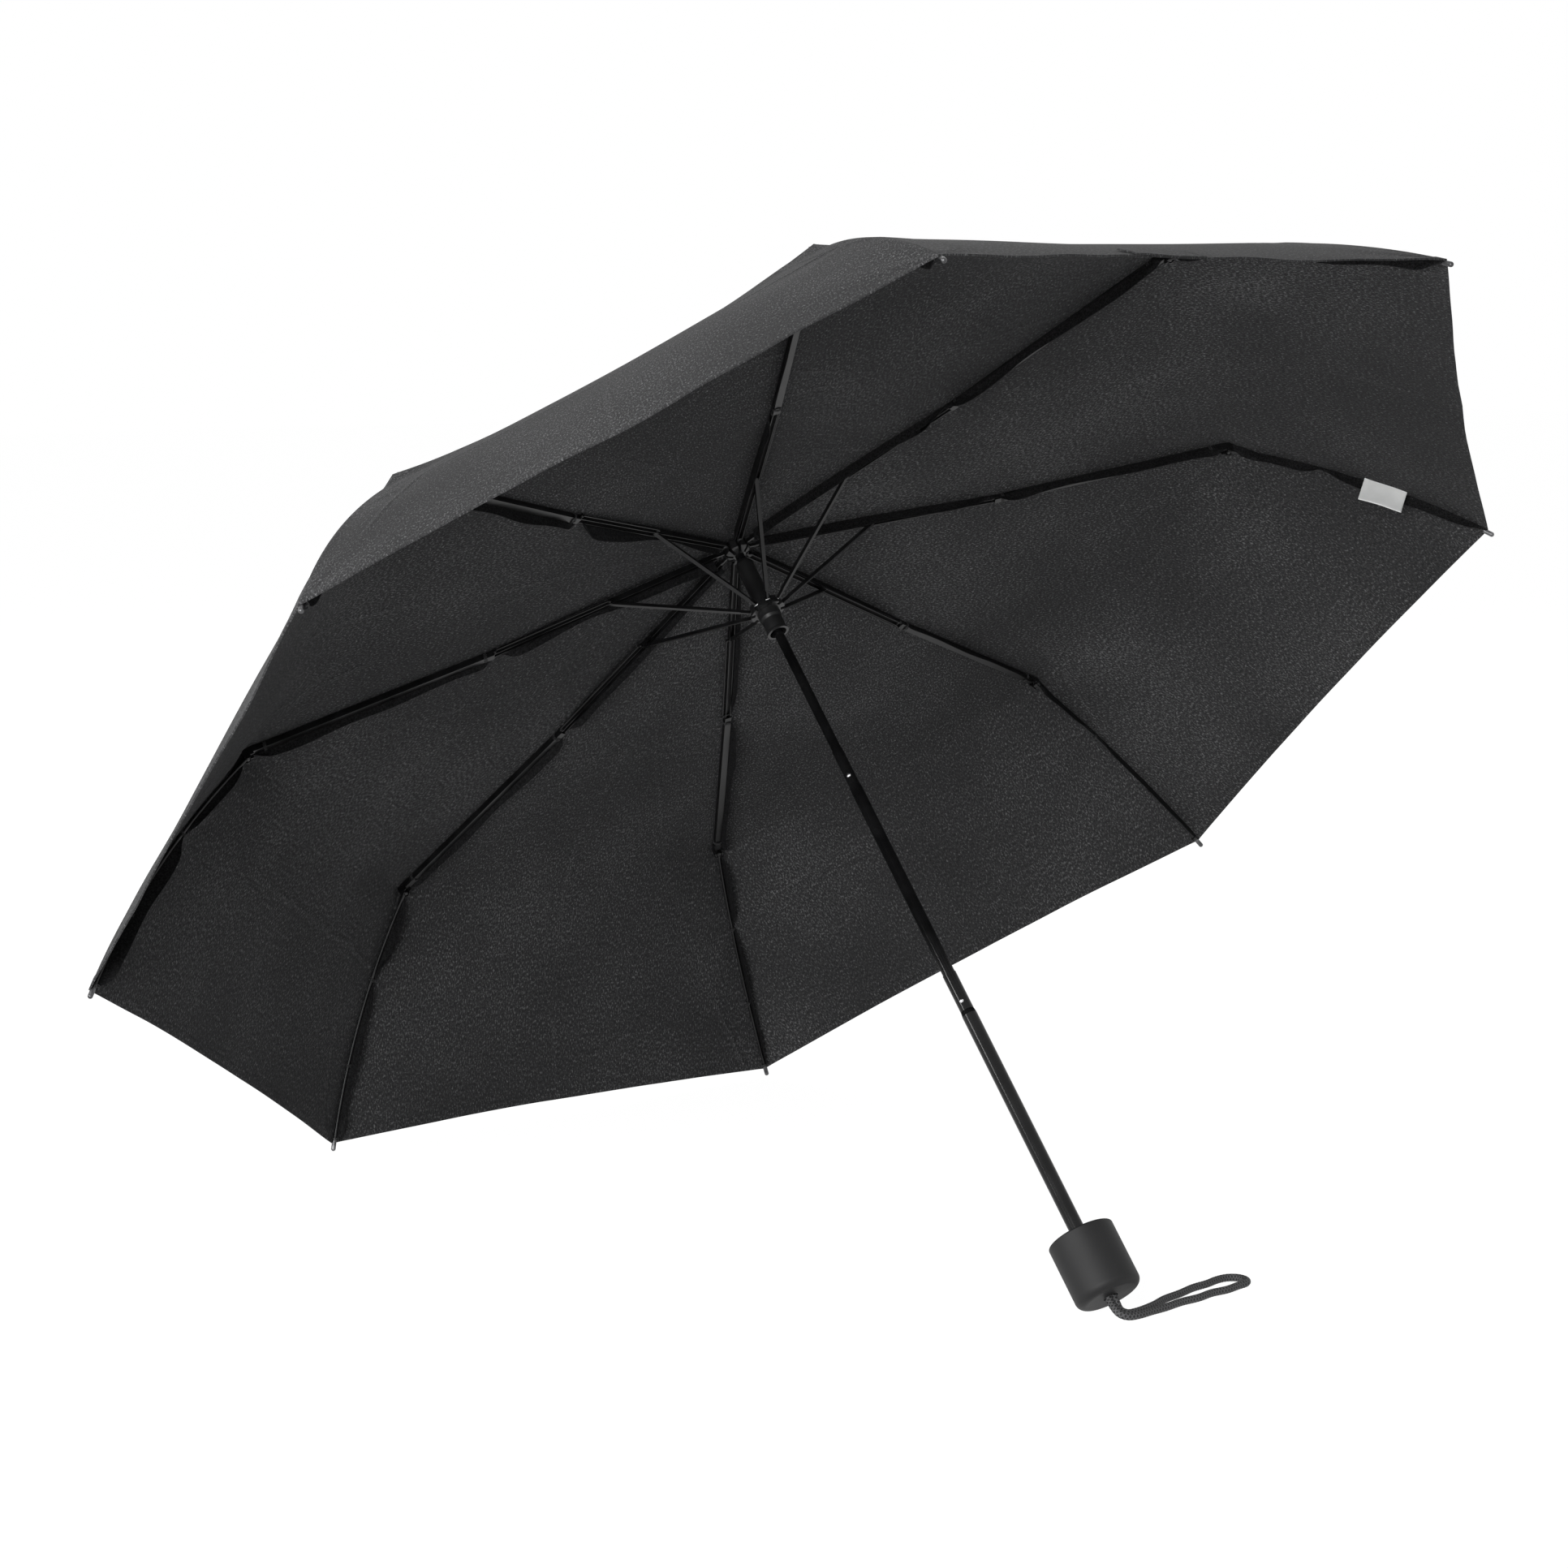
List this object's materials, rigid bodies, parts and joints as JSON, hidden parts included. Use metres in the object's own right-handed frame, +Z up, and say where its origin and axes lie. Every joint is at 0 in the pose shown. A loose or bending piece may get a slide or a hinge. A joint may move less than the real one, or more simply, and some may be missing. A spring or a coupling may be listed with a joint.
{
  "type": "folding umbrella",
  "caption": "Compact folding umbrella standing open on its rib tips and grip, with a telescopic shaft, twice-folding ribs, a sliding runner and a wrist loop.",
  "frame": {"origin": "middle of the grip, on the shaft's axis", "axes": "+Z up from the surface that the open umbrella lies on, +X along that surface from the canopy to the grip, +Y across the canopy"},
  "size_m": [0.6637, 0.8886, 0.6089],
  "materials": {
    "canopy_cloth": "black woven polyester, faint sheen",
    "painted_steel": "gloss black paint",
    "black_plastic": "moulded, satin",
    "soft_grip": "soft-touch, matt",
    "bright_steel": "plain bright steel",
    "cord": "braided",
    "white_tape": "white satin tape"
  },
  "bodies": {
    "grip": {"grip": "soft_grip", "lower_tube": "painted_steel", "wrist_loop": "cord", "loop_knot": "cord"},
    "middle_tube": {"middle_tube": "painted_steel"},
    "upper_tube": {"upper_tube": "painted_steel", "lock_sleeve": "black_plastic", "crown": "black_plastic", "crown_ring": "bright_steel", "top_cap": "black_plastic", "canopy": "canopy_cloth"},
    "runner": {"runner": "black_plastic", "runner_ring": "bright_steel"},
    "lower_catch": {"lower_catch": "bright_steel"},
    "upper_catch": {"upper_catch": "bright_steel"},
    "top_rib_1": {"top_rib_1": "painted_steel"},
    "stretcher_1": {"stretcher_1": "painted_steel"},
    "middle_rib_1": {"middle_rib_1": "painted_steel"},
    "end_rib_1": {"end_rib_1": "painted_steel", "tip_cap_1": "bright_steel"},
    "top_rib_2": {"top_rib_2": "painted_steel"},
    "stretcher_2": {"stretcher_2": "painted_steel"},
    "middle_rib_2": {"middle_rib_2": "painted_steel"},
    "end_rib_2": {"end_rib_2": "painted_steel", "tip_cap_2": "bright_steel", "care_tag": "white_tape"},
    "top_rib_3": {"top_rib_3": "painted_steel"},
    "stretcher_3": {"stretcher_3": "painted_steel"},
    "middle_rib_3": {"middle_rib_3": "painted_steel"},
    "end_rib_3": {"end_rib_3": "painted_steel", "tip_cap_3": "bright_steel"},
    "top_rib_4": {"top_rib_4": "painted_steel"},
    "stretcher_4": {"stretcher_4": "painted_steel"},
    "middle_rib_4": {"middle_rib_4": "painted_steel"},
    "end_rib_4": {"end_rib_4": "painted_steel", "tip_cap_4": "bright_steel"},
    "top_rib_5": {"top_rib_5": "painted_steel"},
    "stretcher_5": {"stretcher_5": "painted_steel"},
    "middle_rib_5": {"middle_rib_5": "painted_steel"},
    "end_rib_5": {"end_rib_5": "painted_steel", "tip_cap_5": "bright_steel"},
    "top_rib_6": {"top_rib_6": "painted_steel"},
    "stretcher_6": {"stretcher_6": "painted_steel"},
    "middle_rib_6": {"middle_rib_6": "painted_steel"},
    "end_rib_6": {"end_rib_6": "painted_steel", "tip_cap_6": "bright_steel"},
    "top_rib_7": {"top_rib_7": "painted_steel"},
    "stretcher_7": {"stretcher_7": "painted_steel"},
    "middle_rib_7": {"middle_rib_7": "painted_steel"},
    "end_rib_7": {"end_rib_7": "painted_steel", "tip_cap_7": "bright_steel"},
    "top_rib_8": {"top_rib_8": "painted_steel"},
    "stretcher_8": {"stretcher_8": "painted_steel"},
    "middle_rib_8": {"middle_rib_8": "painted_steel"},
    "end_rib_8": {"end_rib_8": "painted_steel", "tip_cap_8": "bright_steel", "closing_strap": "canopy_cloth"}
  },
  "joints": [
    {"name": "middle_tube_slide", "type": "slide", "parent": "grip", "child": "middle_tube", "axis": [0.671, 0, -0.7415], "range_m": [0, 0.165]},
    {"name": "upper_tube_slide", "type": "slide", "parent": "middle_tube", "child": "upper_tube", "axis": [0.671, 0, -0.7415], "range_m": [0, 0.1425]},
    {"name": "runner_slide", "type": "slide", "parent": "upper_tube", "child": "runner", "axis": [0.671, 0, -0.7415], "range_m": [0, 0.12914], "deforming": ["canopy", "closing_strap", "care_tag"]},
    {"name": "lower_catch_press", "type": "slide", "parent": "middle_tube", "child": "lower_catch", "axis": [-0.4766, 0.766, -0.4313], "range_m": [0, 0.0013], "stiffness_N_per_m": 400, "deforming": ["lower_catch"]},
    {"name": "upper_catch_press", "type": "slide", "parent": "upper_tube", "child": "upper_catch", "axis": [-0.4766, 0.766, -0.4313], "range_m": [0, 0.0013], "stiffness_N_per_m": 400, "deforming": ["upper_catch"]},
    {"name": "top_rib_1_hinge", "type": "hinge", "parent": "upper_tube", "child": "top_rib_1", "pos_m": [-0.34932, 0.00249, 0.39497], "axis": [-0.2837, 0.9239, -0.2568], "range_deg": [0, 78.4]},
    {"name": "stretcher_1_hinge", "type": "hinge", "parent": "top_rib_1", "child": "stretcher_1", "pos_m": [-0.28297, 0.03553, 0.44051], "axis": [-0.2837, 0.9239, -0.2568], "range_deg": [-142.23, 0]},
    {"name": "middle_rib_1_hinge", "type": "hinge", "parent": "top_rib_1", "child": "middle_rib_1", "pos_m": [-0.2202, 0.06678, 0.4836], "axis": [-0.2837, 0.9239, -0.2568], "range_deg": [-171.4, 0]},
    {"name": "end_rib_1_hinge", "type": "hinge", "parent": "middle_rib_1", "child": "end_rib_1", "pos_m": [-0.09262, 0.13103, 0.57382], "axis": [-0.2837, 0.9239, -0.2568], "range_deg": [0, 139.6]},
    {"name": "top_rib_2_hinge", "type": "hinge", "parent": "upper_tube", "child": "top_rib_2", "pos_m": [-0.35193, 0.00601, 0.39261], "axis": [-0.685, 0.3827, -0.6199], "range_deg": [0, 78.4]},
    {"name": "stretcher_2_hinge", "type": "hinge", "parent": "top_rib_2", "child": "stretcher_2", "pos_m": [-0.32022, 0.08577, 0.4068], "axis": [-0.685, 0.3827, -0.6199], "range_deg": [-142.23, 0]},
    {"name": "middle_rib_2_hinge", "type": "hinge", "parent": "top_rib_2", "child": "middle_rib_2", "pos_m": [-0.29022, 0.16122, 0.42023], "axis": [-0.685, 0.3827, -0.6199], "range_deg": [-171.4, 0]},
    {"name": "end_rib_2_hinge", "type": "hinge", "parent": "middle_rib_2", "child": "end_rib_2", "pos_m": [-0.23003, 0.31635, 0.44948], "axis": [-0.685, 0.3827, -0.6199], "range_deg": [0, 139.6]},
    {"name": "top_rib_3_hinge", "type": "hinge", "parent": "upper_tube", "child": "top_rib_3", "pos_m": [-0.35562, 0.00601, 0.38927], "axis": [-0.685, -0.3827, -0.6199], "range_deg": [0, 78.4]},
    {"name": "stretcher_3_hinge", "type": "hinge", "parent": "top_rib_3", "child": "stretcher_3", "pos_m": [-0.3729, 0.08577, 0.35913], "axis": [-0.685, -0.3827, -0.6199], "range_deg": [-142.23, 0]},
    {"name": "middle_rib_3_hinge", "type": "hinge", "parent": "top_rib_3", "child": "middle_rib_3", "pos_m": [-0.38925, 0.16122, 0.33062], "axis": [-0.685, -0.3827, -0.6199], "range_deg": [-171.4, 0]},
    {"name": "end_rib_3_hinge", "type": "hinge", "parent": "middle_rib_3", "child": "end_rib_3", "pos_m": [-0.42434, 0.31635, 0.27363], "axis": [-0.685, -0.3827, -0.6199], "range_deg": [0, 139.6]},
    {"name": "top_rib_4_hinge", "type": "hinge", "parent": "upper_tube", "child": "top_rib_4", "pos_m": [-0.35823, 0.00249, 0.38691], "axis": [-0.2837, -0.9239, -0.2568], "range_deg": [0, 78.4]},
    {"name": "stretcher_4_hinge", "type": "hinge", "parent": "top_rib_4", "child": "stretcher_4", "pos_m": [-0.41016, 0.03553, 0.32542], "axis": [-0.2837, -0.9239, -0.2568], "range_deg": [-142.23, 0]},
    {"name": "middle_rib_4_hinge", "type": "hinge", "parent": "top_rib_4", "child": "middle_rib_4", "pos_m": [-0.45928, 0.06678, 0.26725], "axis": [-0.2837, -0.9239, -0.2568], "range_deg": [-171.4, 0]},
    {"name": "end_rib_4_hinge", "type": "hinge", "parent": "middle_rib_4", "child": "end_rib_4", "pos_m": [-0.56175, 0.13103, 0.14929], "axis": [-0.2837, -0.9239, -0.2568], "range_deg": [0, 139.6]},
    {"name": "top_rib_5_hinge", "type": "hinge", "parent": "upper_tube", "child": "top_rib_5", "pos_m": [-0.35823, -0.00249, 0.38691], "axis": [0.2837, -0.9239, 0.2568], "range_deg": [0, 78.4]},
    {"name": "stretcher_5_hinge", "type": "hinge", "parent": "top_rib_5", "child": "stretcher_5", "pos_m": [-0.41016, -0.03553, 0.32542], "axis": [0.2837, -0.9239, 0.2568], "range_deg": [-142.23, 0]},
    {"name": "middle_rib_5_hinge", "type": "hinge", "parent": "top_rib_5", "child": "middle_rib_5", "pos_m": [-0.45928, -0.06678, 0.26725], "axis": [0.2837, -0.9239, 0.2568], "range_deg": [-171.4, 0]},
    {"name": "end_rib_5_hinge", "type": "hinge", "parent": "middle_rib_5", "child": "end_rib_5", "pos_m": [-0.56175, -0.13103, 0.14929], "axis": [0.2837, -0.9239, 0.2568], "range_deg": [0, 139.6]},
    {"name": "top_rib_6_hinge", "type": "hinge", "parent": "upper_tube", "child": "top_rib_6", "pos_m": [-0.35562, -0.00601, 0.38927], "axis": [0.685, -0.3827, 0.6199], "range_deg": [0, 78.4]},
    {"name": "stretcher_6_hinge", "type": "hinge", "parent": "top_rib_6", "child": "stretcher_6", "pos_m": [-0.3729, -0.08577, 0.35913], "axis": [0.685, -0.3827, 0.6199], "range_deg": [-142.23, 0]},
    {"name": "middle_rib_6_hinge", "type": "hinge", "parent": "top_rib_6", "child": "middle_rib_6", "pos_m": [-0.38925, -0.16122, 0.33062], "axis": [0.685, -0.3827, 0.6199], "range_deg": [-171.4, 0]},
    {"name": "end_rib_6_hinge", "type": "hinge", "parent": "middle_rib_6", "child": "end_rib_6", "pos_m": [-0.42434, -0.31635, 0.27363], "axis": [0.685, -0.3827, 0.6199], "range_deg": [0, 139.6]},
    {"name": "top_rib_7_hinge", "type": "hinge", "parent": "upper_tube", "child": "top_rib_7", "pos_m": [-0.35193, -0.00601, 0.39261], "axis": [0.685, 0.3827, 0.6199], "range_deg": [0, 78.4]},
    {"name": "stretcher_7_hinge", "type": "hinge", "parent": "top_rib_7", "child": "stretcher_7", "pos_m": [-0.32022, -0.08577, 0.4068], "axis": [0.685, 0.3827, 0.6199], "range_deg": [-142.23, 0]},
    {"name": "middle_rib_7_hinge", "type": "hinge", "parent": "top_rib_7", "child": "middle_rib_7", "pos_m": [-0.29022, -0.16122, 0.42023], "axis": [0.685, 0.3827, 0.6199], "range_deg": [-171.4, 0]},
    {"name": "end_rib_7_hinge", "type": "hinge", "parent": "middle_rib_7", "child": "end_rib_7", "pos_m": [-0.23003, -0.31635, 0.44948], "axis": [0.685, 0.3827, 0.6199], "range_deg": [0, 139.6]},
    {"name": "top_rib_8_hinge", "type": "hinge", "parent": "upper_tube", "child": "top_rib_8", "pos_m": [-0.34932, -0.00249, 0.39497], "axis": [0.2837, 0.9239, 0.2568], "range_deg": [0, 78.4]},
    {"name": "stretcher_8_hinge", "type": "hinge", "parent": "top_rib_8", "child": "stretcher_8", "pos_m": [-0.28297, -0.03553, 0.44051], "axis": [0.2837, 0.9239, 0.2568], "range_deg": [-142.23, 0]},
    {"name": "middle_rib_8_hinge", "type": "hinge", "parent": "top_rib_8", "child": "middle_rib_8", "pos_m": [-0.2202, -0.06678, 0.4836], "axis": [0.2837, 0.9239, 0.2568], "range_deg": [-171.4, 0]},
    {"name": "end_rib_8_hinge", "type": "hinge", "parent": "middle_rib_8", "child": "end_rib_8", "pos_m": [-0.09262, -0.13103, 0.57382], "axis": [0.2837, 0.9239, 0.2568], "range_deg": [0, 139.6]}
  ],
  "couplings": [
    {"joint": "top_rib_1_hinge", "follows": "runner_slide", "rad_per_m": 10.596},
    {"joint": "stretcher_1_hinge", "follows": "runner_slide", "rad_per_m": -19.222},
    {"joint": "middle_rib_1_hinge", "follows": "runner_slide", "rad_per_m": -23.165},
    {"joint": "end_rib_1_hinge", "follows": "runner_slide", "rad_per_m": 18.867},
    {"joint": "top_rib_2_hinge", "follows": "runner_slide", "rad_per_m": 10.596},
    {"joint": "stretcher_2_hinge", "follows": "runner_slide", "rad_per_m": -19.222},
    {"joint": "middle_rib_2_hinge", "follows": "runner_slide", "rad_per_m": -23.165},
    {"joint": "end_rib_2_hinge", "follows": "runner_slide", "rad_per_m": 18.867},
    {"joint": "top_rib_3_hinge", "follows": "runner_slide", "rad_per_m": 10.596},
    {"joint": "stretcher_3_hinge", "follows": "runner_slide", "rad_per_m": -19.222},
    {"joint": "middle_rib_3_hinge", "follows": "runner_slide", "rad_per_m": -23.165},
    {"joint": "end_rib_3_hinge", "follows": "runner_slide", "rad_per_m": 18.867},
    {"joint": "top_rib_4_hinge", "follows": "runner_slide", "rad_per_m": 10.596},
    {"joint": "stretcher_4_hinge", "follows": "runner_slide", "rad_per_m": -19.222},
    {"joint": "middle_rib_4_hinge", "follows": "runner_slide", "rad_per_m": -23.165},
    {"joint": "end_rib_4_hinge", "follows": "runner_slide", "rad_per_m": 18.867},
    {"joint": "top_rib_5_hinge", "follows": "runner_slide", "rad_per_m": 10.596},
    {"joint": "stretcher_5_hinge", "follows": "runner_slide", "rad_per_m": -19.222},
    {"joint": "middle_rib_5_hinge", "follows": "runner_slide", "rad_per_m": -23.165},
    {"joint": "end_rib_5_hinge", "follows": "runner_slide", "rad_per_m": 18.867},
    {"joint": "top_rib_6_hinge", "follows": "runner_slide", "rad_per_m": 10.596},
    {"joint": "stretcher_6_hinge", "follows": "runner_slide", "rad_per_m": -19.222},
    {"joint": "middle_rib_6_hinge", "follows": "runner_slide", "rad_per_m": -23.165},
    {"joint": "end_rib_6_hinge", "follows": "runner_slide", "rad_per_m": 18.867},
    {"joint": "top_rib_7_hinge", "follows": "runner_slide", "rad_per_m": 10.596},
    {"joint": "stretcher_7_hinge", "follows": "runner_slide", "rad_per_m": -19.222},
    {"joint": "middle_rib_7_hinge", "follows": "runner_slide", "rad_per_m": -23.165},
    {"joint": "end_rib_7_hinge", "follows": "runner_slide", "rad_per_m": 18.867},
    {"joint": "top_rib_8_hinge", "follows": "runner_slide", "rad_per_m": 10.596},
    {"joint": "stretcher_8_hinge", "follows": "runner_slide", "rad_per_m": -19.222},
    {"joint": "middle_rib_8_hinge", "follows": "runner_slide", "rad_per_m": -23.165},
    {"joint": "end_rib_8_hinge", "follows": "runner_slide", "rad_per_m": 18.867}
  ]
}
